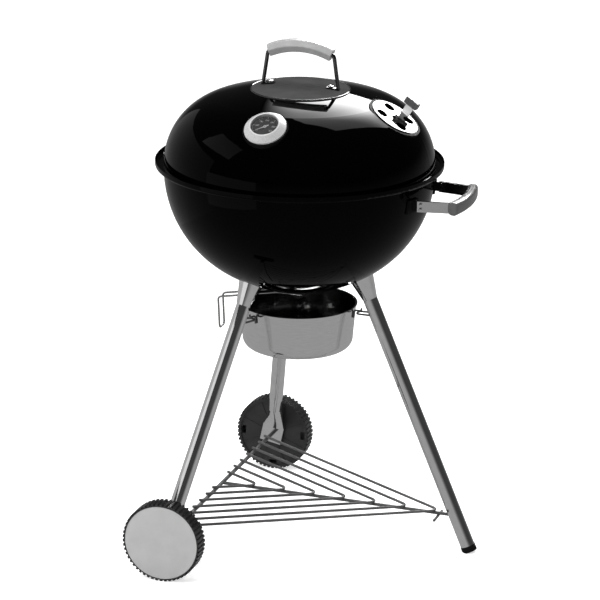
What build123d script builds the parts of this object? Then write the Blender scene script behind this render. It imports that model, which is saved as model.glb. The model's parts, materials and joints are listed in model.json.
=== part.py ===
from build123d import *
from math import asin, atan2, cos, degrees, hypot, pi, radians, sin, sqrt, tan
import os

# Kettle charcoal grill. Millimetres, +Z up, floor at z = 0, +X towards the leg with the foot.
# Everything is drawn round the kettle's own axis and moved to the shared frame at the end.

# Fits
RUN_CLEAR = 0.06  # radial room round a turning shaft
SLIP_CLEAR = 0.1  # radial room round a fixed rod, screw or tube
REST_GAP = 0.3  # room between pieces that slide or rest on each other
WELD_GAP = 0.05  # room where two round wires meet

# Bowl and its lip
RIM_Z = 806.1
BOWL_R = 277.3
BOWL_DEPTH = 255.6
BOWL_CORNER = 246.0
BOWL_WALL = 1.5
FLOOR_DEPTH = 251.1
LIP_OUT = 17.7
LIP_UP = 12.6
LIP_BEND = 4.0
RIM_BEND = 6.0

# Lid
LID_INSET = 0.3
LID_HEIGHT = 162.0
LID_CORNER = 142.5
LID_WALL = 1.5
LID_FOOT_BEND = 2.5
LID_FOOT_ROOM = 5.5

# Crown plate and lid handle
PLATE_R = 101.9
PLATE_THICK = 1.5
HANDLE_ROD = 8.0
HANDLE_FOOT_X = 80.0
HANDLE_SHOULDER_X = 70.0
HANDLE_SHOULDER_UP = 69.0
HANDLE_ARCH_UP = 27.0
HANDLE_ARCH_BEND = 160.0
HANDLE_CORNER_BEND = 12.0
HANDLE_PAD = (26.0, 14.0, 3.0)
HANDLE_PAD_SCREW = 17.0
LID_GRIP_WIDE = 28.0
LID_GRIP_TALL = 25.0
LID_GRIP_TOP = 17.0
LID_GRIP_EDGE = 2.5
LID_GRIP_SHORT = 4.0
SCREW_R = 2.5
SCREW_HEAD_R = 5.0
SCREW_HEAD_TALL = 3.0
NUT_R = 5.0
NUT_TALL = 4.0

# Thermometer
GAUGE_FROM_EDGE = 65.5
GAUGE_AZIMUTH = -90.7
GAUGE_SEAT_R = 46.0
GAUGE_SEAT_UP = 1.5
GAUGE_R = 42.6
GAUGE_TALL = 13.0
GAUGE_EDGE_TALL = 3.0
GAUGE_LIP_R = 31.0
DIAL_R = 28.0
DIAL_DEPTH = 8.0
DIAL_THICK = 1.0
WINDOW_THICK = 1.5
POINTER_LENGTH = 21.0
POINTER_TAIL = 8.0
POINTER_WIDE = 2.4
POINTER_THICK = 0.8
POINTER_HUB_R = 3.2
POINTER_ANGLE = 215.0
PIVOT_R = 1.0
STEM_R = 3.0
STEM_LENGTH = 62.0
STEM_NUT_R = 8.0
STEM_NUT_TALL = 6.0

# Lid vent
VENT_FROM_EDGE = 68.6
VENT_AZIMUTH = -4.5
VENT_SINK = 7.2
VENT_SEAT_ROOM = 1.0
VENT_BASE_R = 58.0
VENT_BASE_THICK = 1.5
VENT_PLATE_R = 52.0
VENT_PLATE_THICK = 1.5
VENT_HOLE_R = 12.0
VENT_HOLE_CIRCLE = 33.1
VENT_HOLES = 4
VENT_TURN = 49.0
VENT_RIVET_R = 3.0
VENT_RIVET_HEAD_R = 6.5
VENT_RIVET_HEAD_TALL = 2.5
TAB_AT = 48.0
TAB_ANGLE = -5.5
TAB_WIDE = 18.0
TAB_THICK = 1.5
TAB_TALL = 31.0
TAB_FOOT = 9.0
TAB_GRIP = (31.0, 9.0, 15.0)
TAB_GRIP_EDGE = 3.0
TAB_GRIP_RIBS = 3
TAB_GRIP_RIB = 0.8

# Bowl handle
STRAP_Y = 82.0
STRAP_DROP = 51.8
STRAP_TALL = 22.0
STRAP_THICK = 2.0
STRAP_FLANGE = 6.0
STRAP_START = 12.0
STRAP_TOE = 10.0
BOWL_GRIP_OUT = 82.7
BOWL_GRIP_BOW = 10.5
BOWL_GRIP_PAST = 6.5
BOWL_GRIP_DEEP = 22.0
BOWL_GRIP_TALL = 28.0
BOWL_GRIP_EDGE = 9.0
BOWL_GRIP_ROUND = 4.0
BRACKET_PAD = (30.0, 28.0)
BRACKET_PAD_THICK = 4.0
BRACKET_TONGUE = 14.0
BRACKET_TONGUE_THICK = 6.0
RIVET_R = 2.0
RIVET_HEAD_R = 3.5
RIVET_HEAD_TALL = 1.8
RIVET_SPREAD = 10.0

# Legs and sockets
LEG_R = 15.0
LEG_WALL = 1.5
LEG_TOP_R = 155.2
LEG_TOP_DROP = 280.7
LEG_AZIMUTH = 117.5
FOOT_X = 382.0
SOCKET_FLARE_R = 30.0
SOCKET_FLARE_LENGTH = 70.0
SOCKET_WALL = 2.0
SPIGOT_LENGTH = 42.0
FOOT_CAP_LIP = 0.7
FOOT_CAP_TALL = 13.0
FOOT_PLUG = 22.0
FOOT_FLAT = 5.0
PADDLE_WIDE = 48.0
PADDLE_THICK = 5.0
PADDLE_UP = 20.0
PADDLE_DOWN = 19.0
PADDLE_TAPER = 55.0

# Axle and wheels
AXLE_X = -164.7
AXLE_R = 4.0
WHEEL_R = 82.4
WHEEL_WIDE = 36.3
WHEEL_Y = 351.6
TREAD_DEEP = 3.0
TREAD_TEETH = 54
TREAD_TOOTH_SHARE = 0.55
TYRE_THICK = 5.0
WEB_RECESS = 4.0
WEB_THICK = 3.0
HUB_R = 14.0
HUB_RECESS = 1.0
HUB_SHORT = 8.0
WHEEL_RIBS = 8
WHEEL_RIB_WIDE = 2.5
WHEEL_RIB_TALL = 2.0
WHEEL_SLOTS = 4
WHEEL_SLOT = (10.0, 18.0)
WHEEL_SLOT_IN = 6.0
DISC_R = 77.0
DISC_THICK = 2.0
DISC_RECESS = 0.5
WASHER_R = 11.0
WASHER_THICK = 1.5
PUSH_NUT_R = 9.0
PUSH_NUT_THICK = 2.0

# Bottom rack
SPINE_R = 3.5
SPINE_LEG_Z = 76.0
RACK_WIRE_R = 2.8
RACK_WIRES = 7
RACK_TIP_X = -81.0
RACK_TIP_STEP = 66.0
RACK_END_Y = 50.0
RACK_END_STEP = 40.3
RACK_END_PAST = 4.5
RACK_BEND = 12.0
STUB_X = 311.0
STUB_LENGTH = 60.0

# Ash pan, its lugs and the loops that carry them
PAN_GAP = 51.5
PAN_RIM_R = 122.8
PAN_BASE_R = 114.5
PAN_TALL = 95.5
PAN_CORNER = 22.0
PAN_WALL = 1.2
PAN_BEAD = 2.4
LUG_R = 2.0
LUG_DROP = 6.5
LUG_LEG = 16.0
LUG_OUT = 15.0
LUG_UP = 6.0
LUG_BEND = 4.0
LOOP_R = 2.0
LOOP_HALF = 10.0
LOOP_REACH = 7.0
LOOP_BEND = 7.0

# Ash sweeper
SLOT_IN_R = 30.0
SLOT_OUT_R = 88.0
SLOT_ANGLE = 30.0
SLOT_AZIMUTH = 60.0
BLADE_IN_R = 8.0
BLADE_OUT_R = 94.0
BLADE_ANGLE = 34.0
BLADE_TURN = 35.0
BLADE_THICK = 1.2
BLADES = 3
SHAFT_R = 5.0
SHAFT_FLANGE_R = 24.0
SHAFT_FLANGE_THICK = 2.5
HUB_BLOCK_LONG = 26.0
HUB_BLOCK_TALL = 8.0
HUB_BLOCK_DROP = 33.0
SWEEPER_NUT_R = 9.0
SWEEPER_NUT_TALL = 6.0
LEVER_R = 2.25
LEVER_HALF = 14.5
LEVER_BEND_X = 40.0
LEVER_CORNER_X = 170.0
LEVER_LEAN = 3.5
LEVER_CORNER_DROP = 56.0
LEVER_HANG = 67.0
LEVER_BEND = 7.0

# Grates
COOK_DROP = 58.0
COOK_ROOM = 5.0
COOK_RING_R = 4.0
COOK_BAR_R = 2.5
COOK_BAR_STEP = 17.0
COAL_DROP = 166.0
COAL_ROOM = 6.0
COAL_RING_R = 4.0
COAL_BAR_R = 4.0
COAL_BAR_STEP = 27.0
CROSS_BAR_AT = 0.55
CROSS_BAR_BITE = 0.6
TAB_SHELF = 16.0
TAB_SHELF_WIDE = 22.0
TAB_SHELF_THICK = 3.0
COOK_TABS = 4
COOK_TAB_AZIMUTH = 45.0
COAL_TABS = 3
COAL_TAB_AZIMUTH = 30.0

# Heights and radii that follow from the sizes above
LIP_Z = RIM_Z - LIP_UP
SEAT_Z = LIP_Z + BOWL_WALL
BOWL_TOP_Z = LIP_Z - LIP_BEND
FLOOR_Z = RIM_Z - FLOOR_DEPTH
FLOOR_TOP_Z = FLOOR_Z + BOWL_WALL
RIM_R = BOWL_R + LIP_OUT
LID_R = BOWL_R - LID_INSET
LID_BASE_Z = SEAT_Z + LID_WALL + LID_FOOT_BEND
LID_FOOT_R = RIM_R - BOWL_WALL - LID_FOOT_ROOM
AXLE_Z = WHEEL_R
LEG_TOP_Z = RIM_Z - LEG_TOP_DROP
STRAP_Z = RIM_Z - STRAP_DROP
PAN_RIM_Z = FLOOR_Z - PAN_GAP
PAN_FLOOR_Z = PAN_RIM_Z - PAN_TALL
LUG_Z = PAN_RIM_Z - LUG_DROP
LOOP_Z = LUG_Z - LUG_R - REST_GAP - LOOP_R
HUB_IN_Y = WHEEL_Y - WHEEL_WIDE / 2 + HUB_RECESS
PADDLE_Y = HUB_IN_Y - REST_GAP - WASHER_THICK - PADDLE_THICK / 2
AXLE_HALF = WHEEL_Y + WHEEL_WIDE / 2 - HUB_SHORT + REST_GAP + PUSH_NUT_THICK
COOK_Z = RIM_Z - COOK_DROP
COAL_Z = RIM_Z - COAL_DROP
SIDES = {"left": 1, "right": -1}


def crown_radius(radius, height, corner):
    """Radius of the crown arc that runs smoothly into the corner arc of a dome."""
    return ((radius - corner) ** 2 + height**2 - corner**2) / (2 * (height - corner))


def dome_outline(radius, height, corner, base_z, up):
    """Half outline of a dome, from its pole to its upright edge, as (radius, height) arcs."""
    crown = crown_radius(radius, height, corner)
    turn = atan2(radius - corner, crown - height)

    def on_crown(angle):
        return (crown * sin(angle), base_z + up * (height - crown + crown * cos(angle)))

    def on_corner(angle):
        return (radius - corner + corner * sin(angle), base_z + up * corner * cos(angle))

    crown_arc = ThreePointArc(on_crown(0), on_crown(turn / 2), on_crown(turn))
    corner_arc = ThreePointArc(on_corner(turn), on_corner(turn / 2 + pi / 4), on_corner(pi / 2))
    return [crown_arc, corner_arc]


def turned(pieces):
    """Solid of revolution about Z from a closed outline drawn as (radius, height)."""
    edges = [edge for piece in pieces for edge in piece.edges()]
    return revolve(Plane.XZ * make_face(edges), Axis.Z)


def arc(centre, radius, start, end):
    """Arc about a centre from one angle to another, in degrees."""
    points = []
    for angle in (start, (start + end) / 2, end):
        turn = radians(angle)
        points.append((centre[0] + radius * cos(turn), centre[1] + radius * sin(turn)))
    return ThreePointArc(*points)


def wire(points, radius, bend):
    """Round wire along straight runs, with one bend radius at its corners."""
    path = FilletPolyline(*points, radius=bend)
    return sweep(Plane(origin=path @ 0, z_dir=path % 0) * Circle(radius), path=path)


def rod(start, end, radius):
    """Straight round rod between two points."""
    along = Vector(*end) - Vector(*start)
    bar = Cylinder(radius, along.length, align=(Align.CENTER, Align.CENTER, Align.MIN))
    return Plane(origin=start, z_dir=along) * bar


def disc(radius, low, high):
    """Upright cylinder between two heights of its own frame."""
    return Pos(0, 0, low) * Cylinder(radius, high - low, align=(Align.CENTER, Align.CENTER, Align.MIN))


def ring(outer, inner, low, high):
    """Upright tube between two heights of its own frame."""
    return disc(outer, low, high) - disc(inner, low, high)


def block(low, high):
    """Box between two opposite corners."""
    size = [b - a for a, b in zip(low, high)]
    middle = [(a + b) / 2 for a, b in zip(low, high)]
    return Pos(*middle) * Box(*size)


def sector(inner, outer, angle, low, high):
    """Slice of a ring, centred on +X, between two heights."""
    face = Pos((inner + outer) / 2, (low + high) / 2) * Rectangle(outer - inner, high - low)
    return Rot(0, 0, -angle / 2) * revolve(Plane.XZ * face, Axis.Z, angle)


def cap(inner, outer, reach, centre_z):
    """Dished disc between two spheres about one centre on the axis, out to a reach."""
    out_turn = asin(reach / outer)
    in_turn = asin(reach / inner)

    def at(sphere, turn):
        return (sphere * sin(turn), centre_z + sphere * cos(turn))

    pieces = [
        ThreePointArc(at(outer, 0), at(outer, out_turn / 2), at(outer, out_turn)),
        Line(at(outer, out_turn), at(inner, in_turn)),
        ThreePointArc(at(inner, in_turn), at(inner, in_turn / 2), at(inner, 0)),
        Line(at(inner, 0), at(outer, 0)),
    ]
    return turned(pieces)


def around(shape, count, start=0.0):
    """Copies of a shape spread evenly round the axis."""
    return [Rot(0, 0, start + 360 * index / count) * shape for index in range(count)]


# Bowl


def bowl_radius(z, inset=0.0):
    """Radius of the bowl's outside at a height, drawn in by an inset."""
    corner = BOWL_CORNER - inset
    return BOWL_R - BOWL_CORNER + sqrt(corner**2 - (BOWL_TOP_Z - z) ** 2)


def bowl_body(inset, floor_z):
    """Filled bowl, drawn in by an inset and cut flat at its floor."""
    radius = BOWL_R - inset
    pieces = dome_outline(radius, BOWL_DEPTH - inset, BOWL_CORNER - inset, BOWL_TOP_Z, -1)
    pole_z = BOWL_TOP_Z - BOWL_DEPTH + inset
    pieces.append(Polyline((radius, BOWL_TOP_Z), (0, BOWL_TOP_Z), (0, pole_z)))
    return turned(pieces) & disc(RIM_R, floor_z, RIM_Z)


def bowl_lip():
    """Stepped lip: out from the wall, flat under the lid's foot, and up to the rim."""
    inner_bend = (BOWL_R + LIP_BEND, BOWL_TOP_Z)
    outer_bend = (RIM_R - RIM_BEND, LIP_Z + RIM_BEND)
    rim_in = RIM_R - BOWL_WALL
    pieces = [
        arc(inner_bend, LIP_BEND, 180, 90),
        Line((inner_bend[0], LIP_Z), (outer_bend[0], LIP_Z)),
        arc(outer_bend, RIM_BEND, -90, 0),
        Polyline((RIM_R, outer_bend[1]), (RIM_R, RIM_Z), (rim_in, RIM_Z), (rim_in, outer_bend[1])),
        arc(outer_bend, RIM_BEND - BOWL_WALL, 0, -90),
        Line((outer_bend[0], SEAT_Z), (inner_bend[0], SEAT_Z)),
        arc(inner_bend, LIP_BEND + BOWL_WALL, 90, 180),
        Line((BOWL_R - BOWL_WALL, BOWL_TOP_Z), (BOWL_R, BOWL_TOP_Z)),
    ]
    return turned(pieces)


BOWL_FILLED = bowl_body(0, FLOOR_Z)
BOWL_TRIM = bowl_body(-WELD_GAP, FLOOR_Z - WELD_GAP)
BOWL_HOLLOW = bowl_body(BOWL_WALL, FLOOR_TOP_Z)


def bowl():
    slot = sector(SLOT_IN_R, SLOT_OUT_R, SLOT_ANGLE, FLOOR_Z - BOWL_WALL, FLOOR_TOP_Z + BOWL_WALL)
    shaft_hole = disc(SHAFT_R + RUN_CLEAR, FLOOR_Z - BOWL_WALL, FLOOR_TOP_Z + BOWL_WALL)
    shell = BOWL_FILLED - BOWL_HOLLOW + bowl_lip()
    return shell - around(slot, BLADES, SLOT_AZIMUTH) - shaft_hole


# Bowl handle

WALL_X = sqrt(bowl_radius(STRAP_Z) ** 2 - STRAP_Y**2)
STRAP_X = WALL_X + STRAP_START
GRIP_X = WALL_X + BOWL_GRIP_OUT
STRAP_RUN = (GRIP_X - STRAP_X) / cos(radians(STRAP_TOE))
GRIP_HALF = STRAP_Y - STRAP_RUN * sin(radians(STRAP_TOE)) + STRAP_THICK + BOWL_GRIP_PAST
RIVET_X = STRAP_X + BRACKET_TONGUE / 2


def handle_strap(side):
    """Channel strap from the bracket into the end of the grip, its flanges turned inwards."""
    half = STRAP_TALL / 2
    outer = STRAP_Y + STRAP_THICK
    end = STRAP_X + STRAP_RUN
    strap = block((STRAP_X, STRAP_Y, -half), (end, outer, half))
    for low, high in ((half - STRAP_THICK, half), (-half, STRAP_THICK - half)):
        strap += block((STRAP_X, outer - STRAP_FLANGE, low), (end, outer, high))
    strap -= rivet_holes()
    return place_handle(toed_in(strap), side)


def rivet_holes():
    holes = []
    for z in (-RIVET_SPREAD / 2, RIVET_SPREAD / 2):
        holes.append(rod((RIVET_X, 0, z), (RIVET_X, 2 * STRAP_Y, z), RIVET_R + SLIP_CLEAR))
    return holes


def toed_in(shape):
    """Turn a piece drawn along the left strap's run towards the handle's middle."""
    root = Pos(STRAP_X, STRAP_Y, 0)
    return root * Rot(0, 0, -STRAP_TOE) * root.inverse() * shape


def place_handle(shape, side):
    """Lift a piece drawn for the left side to the handle's height, mirrored for the right side."""
    if side < 0:
        shape = mirror(shape, Plane.XZ)
    return Pos(0, 0, STRAP_Z) * shape


def handle_bracket(side):
    """Pad that follows the bowl, with a tongue inside the strap."""
    half_y = BRACKET_PAD[0] / 2
    half_z = BRACKET_PAD[1] / 2
    window = block((0, STRAP_Y - half_y, -half_z), (RIM_R, STRAP_Y + half_y, half_z))
    tongue_half = STRAP_TALL / 2 - STRAP_THICK - SLIP_CLEAR
    tongue_low = (WALL_X - BRACKET_PAD[0], STRAP_Y - BRACKET_TONGUE_THICK, -tongue_half)
    tongue_high = (STRAP_X + BRACKET_TONGUE, STRAP_Y, tongue_half)
    pad = bowl_body(-BRACKET_PAD_THICK, FLOOR_Z) & place_handle(window, side)
    tongue = place_handle(toed_in(block(tongue_low, tongue_high)), side)
    holes = [place_handle(toed_in(hole), side) for hole in rivet_holes()]
    return pad + tongue - BOWL_TRIM - holes


def handle_rivets():
    """Four rivets through straps and tongues, with a round head on each end."""
    rivets = []
    inner = STRAP_Y - BRACKET_TONGUE_THICK
    outer = STRAP_Y + STRAP_THICK
    for side in SIDES.values():
        for z in (-RIVET_SPREAD / 2, RIVET_SPREAD / 2):
            rivet = rod((RIVET_X, inner, z), (RIVET_X, outer, z), RIVET_R)
            rivet += rod((RIVET_X, outer, z), (RIVET_X, outer + RIVET_HEAD_TALL, z), RIVET_HEAD_R)
            rivet += rod((RIVET_X, inner, z), (RIVET_X, inner - RIVET_HEAD_TALL, z), RIVET_HEAD_R)
            rivets.append(place_handle(toed_in(rivet), side))
    return Compound(rivets)


def handle_grip():
    """Bowed grip with rounded ends across the ends of both straps."""
    ends = [(GRIP_X, -GRIP_HALF, STRAP_Z), (GRIP_X, GRIP_HALF, STRAP_Z)]
    middle = (GRIP_X + BOWL_GRIP_BOW, 0, STRAP_Z)
    path = ThreePointArc(ends[0], middle, ends[1])
    section = RectangleRounded(BOWL_GRIP_TALL, BOWL_GRIP_DEEP, BOWL_GRIP_EDGE)
    grip = sweep(Plane(origin=path @ 0, x_dir=(0, 0, 1), z_dir=path % 0) * section, path=path)
    for end in (0, -1):
        grip = fillet(grip.faces().sort_by(Axis.Y)[end].edges(), BOWL_GRIP_ROUND)
    for side in SIDES.values():
        grip -= handle_strap(side)
    return grip


# Legs, sockets, axle and wheels


def leg_ends(leg):
    """Top of a leg's tube, and the point that its axis runs down to."""
    if leg == "foot":
        return Vector(LEG_TOP_R, 0, LEG_TOP_Z), Vector(FOOT_X, 0, 0)
    side = SIDES[leg]
    turn = radians(LEG_AZIMUTH)
    top = Vector(LEG_TOP_R * cos(turn), side * LEG_TOP_R * sin(turn), LEG_TOP_Z)
    return top, (paddle_frame(side) * Pos(0, 0, PADDLE_UP)).position


def paddle_frame(side):
    """Frame on the axle in a paddle's middle plane, z up along the paddle."""
    lean = atan2(LEG_TOP_R * cos(radians(LEG_AZIMUTH)) - AXLE_X, LEG_TOP_Z - AXLE_Z)
    return Pos(AXLE_X, side * PADDLE_Y, AXLE_Z) * Rot(0, degrees(lean), 0)


def leg_frame(leg):
    """Frame at the top of a leg's tube, z up along the leg."""
    top, bottom = leg_ends(leg)
    return Plane(origin=top, z_dir=top - bottom)


def leg_at(leg, z):
    """Point of a leg's axis at a height."""
    top, bottom = leg_ends(leg)
    return top + (bottom - top) * ((top.Z - z) / (top.Z - bottom.Z))


def leg_core(leg):
    """Filled cylinder of a leg's outside, to trim what is welded to it."""
    top, bottom = leg_ends(leg)
    return leg_frame(leg) * disc(LEG_R, -(top - bottom).length, 0)


LEGS = ("foot", "left", "right")
FOOT_LEAN = atan2(FOOT_X - LEG_TOP_R, LEG_TOP_Z)
FOOT_CAP_R = LEG_R + FOOT_CAP_LIP
FOOT_CUT = FOOT_CAP_R * tan(FOOT_LEAN) - FOOT_FLAT - LEG_TOP_Z / cos(FOOT_LEAN)


def leg_azimuth(leg):
    return 0.0 if leg == "foot" else SIDES[leg] * LEG_AZIMUTH


def socket(leg):
    """Flared socket under the bowl, with a spigot that the tube is pushed on."""
    spigot_r = LEG_R - LEG_WALL - SLIP_CLEAR
    bore_r = spigot_r - SOCKET_WALL
    outline = Polyline(
        (bore_r, -SPIGOT_LENGTH),
        (spigot_r, -SPIGOT_LENGTH),
        (spigot_r, 0),
        (LEG_R, 0),
        (SOCKET_FLARE_R, SOCKET_FLARE_LENGTH),
        (SOCKET_FLARE_R - SOCKET_WALL, SOCKET_FLARE_LENGTH),
        (bore_r, 0),
        close=True,
    )
    return leg_frame(leg) * turned([outline]) - BOWL_TRIM


def foot_leg():
    """Straight tube that ends on the foot cap's shoulder."""
    return leg_frame("foot") * ring(LEG_R, LEG_R - LEG_WALL, FOOT_CUT + FOOT_CAP_TALL, 0)


def foot_cap():
    """Cap pushed into the tube's end: cut square, with a small flat that stands on the floor."""
    shoulder = FOOT_CUT + FOOT_CAP_TALL
    plug_r = LEG_R - LEG_WALL - SLIP_CLEAR
    body = disc(FOOT_CAP_R, FOOT_CUT, shoulder) + disc(plug_r, shoulder, shoulder + FOOT_PLUG)
    above = block((0, -FOOT_CAP_R, 0), (FOOT_X + RIM_R, FOOT_CAP_R, RIM_Z))
    return (leg_frame("foot") * body) & above


def wheel_leg(leg):
    """Tube whose lower end is pressed flat into a paddle for the axle."""
    top, bottom = leg_ends("left")
    along = (top - bottom).normalized()
    taper_top = bottom + along * PADDLE_TAPER
    level = Vector(1, 0, 0) - along * along.X
    tube_low = -(top - taper_top).length
    tube = disc(LEG_R, tube_low, 0) - disc(LEG_R - LEG_WALL, tube_low + LEG_R, 0)
    round_end = Plane(origin=taper_top, x_dir=level, z_dir=along) * Circle(LEG_R - WELD_GAP)
    half_wide = PADDLE_WIDE / 2
    half_thick = PADDLE_THICK / 2
    flat_end = Ellipse(half_wide - SLIP_CLEAR, half_thick - SLIP_CLEAR)
    frame = paddle_frame(SIDES["left"])
    taper = loft([frame * Pos(0, 0, PADDLE_UP - PADDLE_THICK) * flat_end, round_end])
    plate = frame * block((-half_wide, -half_thick, -PADDLE_DOWN), (half_wide, half_thick, PADDLE_UP))
    hole = frame * rod((0, -PADDLE_THICK, 0), (0, PADDLE_THICK, 0), AXLE_R + SLIP_CLEAR)
    shape = leg_frame("left") * tube + taper + plate - hole
    return shape if leg == "left" else mirror(shape, Plane.XZ)


def axle():
    return rod((AXLE_X, -AXLE_HALF, AXLE_Z), (AXLE_X, AXLE_HALF, AXLE_Z), AXLE_R)


def wheel_frame(side):
    """Frame at a wheel's middle, z outwards along the axle."""
    return Plane(origin=(AXLE_X, side * WHEEL_Y, AXLE_Z), x_dir=(1, 0, 0), z_dir=(0, side, 0))


WHEEL_IN = -WHEEL_WIDE / 2
WHEEL_OUT = WHEEL_WIDE / 2
HUB_IN = WHEEL_IN + HUB_RECESS
HUB_OUT = WHEEL_OUT - HUB_SHORT


def wheel(side):
    """Moulded wheel: toothed tyre, web with ribs and slots near its inner face, and hub."""
    tread_r = WHEEL_R - TREAD_DEEP
    tyre_in = tread_r - TYRE_THICK
    web_low = WHEEL_IN + WEB_RECESS
    groove_wide = (1 - TREAD_TOOTH_SHARE) * 2 * pi * WHEEL_R / TREAD_TEETH
    groove_low = (tread_r, -groove_wide / 2, WHEEL_IN - TREAD_DEEP)
    groove_high = (WHEEL_R + TREAD_DEEP, groove_wide / 2, WHEEL_OUT + TREAD_DEEP)
    groove = block(groove_low, groove_high)
    body = ring(WHEEL_R, tyre_in, WHEEL_IN, WHEEL_OUT) - around(groove, TREAD_TEETH)
    body -= disc(DISC_R + SLIP_CLEAR, WHEEL_OUT - DISC_RECESS - DISC_THICK, WHEEL_OUT + DISC_THICK)
    body += disc(tyre_in + WEB_THICK, web_low, web_low + WEB_THICK)
    body += disc(HUB_R, HUB_IN, HUB_OUT)
    rib_half = WHEEL_RIB_WIDE / 2
    rib = block((0, -rib_half, web_low - WHEEL_RIB_TALL), (tyre_in + WEB_THICK, rib_half, web_low))
    body += around(rib, WHEEL_RIBS, 180 / WHEEL_RIBS)
    slot_deep, slot_wide = WHEEL_SLOT
    slot_out = tyre_in - WHEEL_SLOT_IN + slot_deep / 2
    slot = block((slot_out - slot_deep, -slot_wide / 2, WHEEL_IN), (slot_out, slot_wide / 2, 0))
    body -= around(slot, WHEEL_SLOTS)
    body -= disc(AXLE_R + RUN_CLEAR, WHEEL_IN - HUB_R, WHEEL_OUT + HUB_R)
    return wheel_frame(side) * body


def wheel_disc(side):
    """Plain pale disc let into the wheel's outer face."""
    high = WHEEL_OUT - DISC_RECESS
    return wheel_frame(side) * disc(DISC_R, high - DISC_THICK, high)


def washer(side):
    high = HUB_IN - REST_GAP
    return wheel_frame(side) * ring(WASHER_R, AXLE_R + SLIP_CLEAR, high - WASHER_THICK, high)


def push_nut(side):
    """Sprung cap nut on the axle's end, hidden under the wheel's disc."""
    low = HUB_OUT + REST_GAP
    return wheel_frame(side) * ring(PUSH_NUT_R, AXLE_R + SLIP_CLEAR, low, low + PUSH_NUT_THICK)


# Bottom rack

SPINE_AXLE_Z = AXLE_Z + AXLE_R - SPINE_R
RACK_RUN = leg_at("foot", SPINE_LEG_Z).X - AXLE_X
RACK_TILT = degrees(atan2(SPINE_AXLE_Z - SPINE_LEG_Z, RACK_RUN))
RACK_FRAME = Pos(AXLE_X, 0, AXLE_Z + AXLE_R + WELD_GAP + RACK_WIRE_R) * Rot(0, RACK_TILT, 0)
SPINE_DOWN = RACK_WIRE_R + WELD_GAP + SPINE_R


def rack_spine():
    """Rod from the axle to the foot leg that the rack's wires lie on."""
    spine = rod((AXLE_R + SLIP_CLEAR, 0, -SPINE_DOWN), (RACK_RUN, 0, -SPINE_DOWN), SPINE_R)
    return RACK_FRAME * spine - leg_core("foot")


def rack_wires():
    """Nested V-shaped wires, each bent round at its tip, with both ends just past the axle."""
    wires = []
    for index in range(RACK_WIRES):
        tip = RACK_TIP_X + index * RACK_TIP_STEP - AXLE_X
        end_y = RACK_END_Y + index * RACK_END_STEP
        points = [(-RACK_END_PAST, -end_y, 0), (tip, 0, 0), (-RACK_END_PAST, end_y, 0)]
        wires.append(RACK_FRAME * wire(points, RACK_WIRE_R, RACK_BEND))
    return Compound(wires)


def rack_stub():
    """Short cross wire under the spine that stops it turning."""
    z = -SPINE_DOWN - SPINE_R - WELD_GAP - RACK_WIRE_R
    x = STUB_X - AXLE_X
    return RACK_FRAME * rod((x, -STUB_LENGTH / 2, z), (x, STUB_LENGTH / 2, z), RACK_WIRE_R)


# Ash pan

PAN_WALL_LOW_Z = PAN_FLOOR_Z + PAN_CORNER
PAN_WALL_TOP_Z = PAN_RIM_Z - PAN_WALL
PAN_TOP_R = PAN_RIM_R - PAN_BEAD


def pan_radius(z):
    """Radius of the pan's outside at a height of its slanted wall."""
    share = (z - PAN_WALL_LOW_Z) / (PAN_WALL_TOP_Z - PAN_WALL_LOW_Z)
    return PAN_BASE_R + (PAN_TOP_R - PAN_BASE_R) * share


LUG_LOW_Z = LUG_Z - LUG_LEG
LUG_OFF = LUG_R + WELD_GAP
LUG_TIP_R = pan_radius(LUG_Z) + LUG_OFF + LUG_OUT
LOOP_IN_R = pan_radius(LUG_Z) + LUG_OFF + LOOP_REACH


def ash_pan():
    """Deep round pan with a rounded bottom corner and an out-turned edge."""
    bend = (PAN_BASE_R - PAN_CORNER, PAN_WALL_LOW_Z)
    pieces = [
        Line((0, PAN_FLOOR_Z), (bend[0], PAN_FLOOR_Z)),
        arc(bend, PAN_CORNER, -90, 0),
        Polyline(
            (PAN_BASE_R, PAN_WALL_LOW_Z),
            (PAN_TOP_R, PAN_WALL_TOP_Z),
            (PAN_RIM_R, PAN_WALL_TOP_Z),
            (PAN_RIM_R, PAN_RIM_Z),
            (PAN_TOP_R - PAN_WALL, PAN_RIM_Z),
            (PAN_BASE_R - PAN_WALL, PAN_WALL_LOW_Z),
        ),
        arc(bend, PAN_CORNER - PAN_WALL, 0, -90),
        Polyline((bend[0], PAN_FLOOR_Z + PAN_WALL), (0, PAN_FLOOR_Z + PAN_WALL), (0, PAN_FLOOR_Z)),
    ]
    return turned(pieces)


def pan_lugs():
    """Bent wires on the pan's wall, one at each leg, with their outer ends turned up."""
    points = [
        (pan_radius(LUG_LOW_Z) + LUG_OFF, 0, LUG_LOW_Z),
        (pan_radius(LUG_Z) + LUG_OFF, 0, LUG_Z),
        (LUG_TIP_R, 0, LUG_Z),
        (LUG_TIP_R, 0, LUG_Z + LUG_UP),
    ]
    lug = wire(points, LUG_R, LUG_BEND)
    return Compound([Rot(0, 0, leg_azimuth(leg)) * lug for leg in LEGS])


def pan_loops():
    """Wire loops welded to the legs, under the pan's lugs."""
    loops = []
    for leg in LEGS:
        weld = leg_at(leg, LOOP_Z)
        weld_r = hypot(weld.X, weld.Y)
        points = [
            (weld_r, -LOOP_HALF, LOOP_Z),
            (LOOP_IN_R, -LOOP_HALF, LOOP_Z),
            (LOOP_IN_R, LOOP_HALF, LOOP_Z),
            (weld_r, LOOP_HALF, LOOP_Z),
        ]
        loop = Rot(0, 0, leg_azimuth(leg)) * wire(points, LOOP_R, LOOP_BEND)
        loops.append(loop - leg_core(leg))
    return Compound([solid for loop in loops for solid in loop.solids()])


# Ash sweeper

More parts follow.
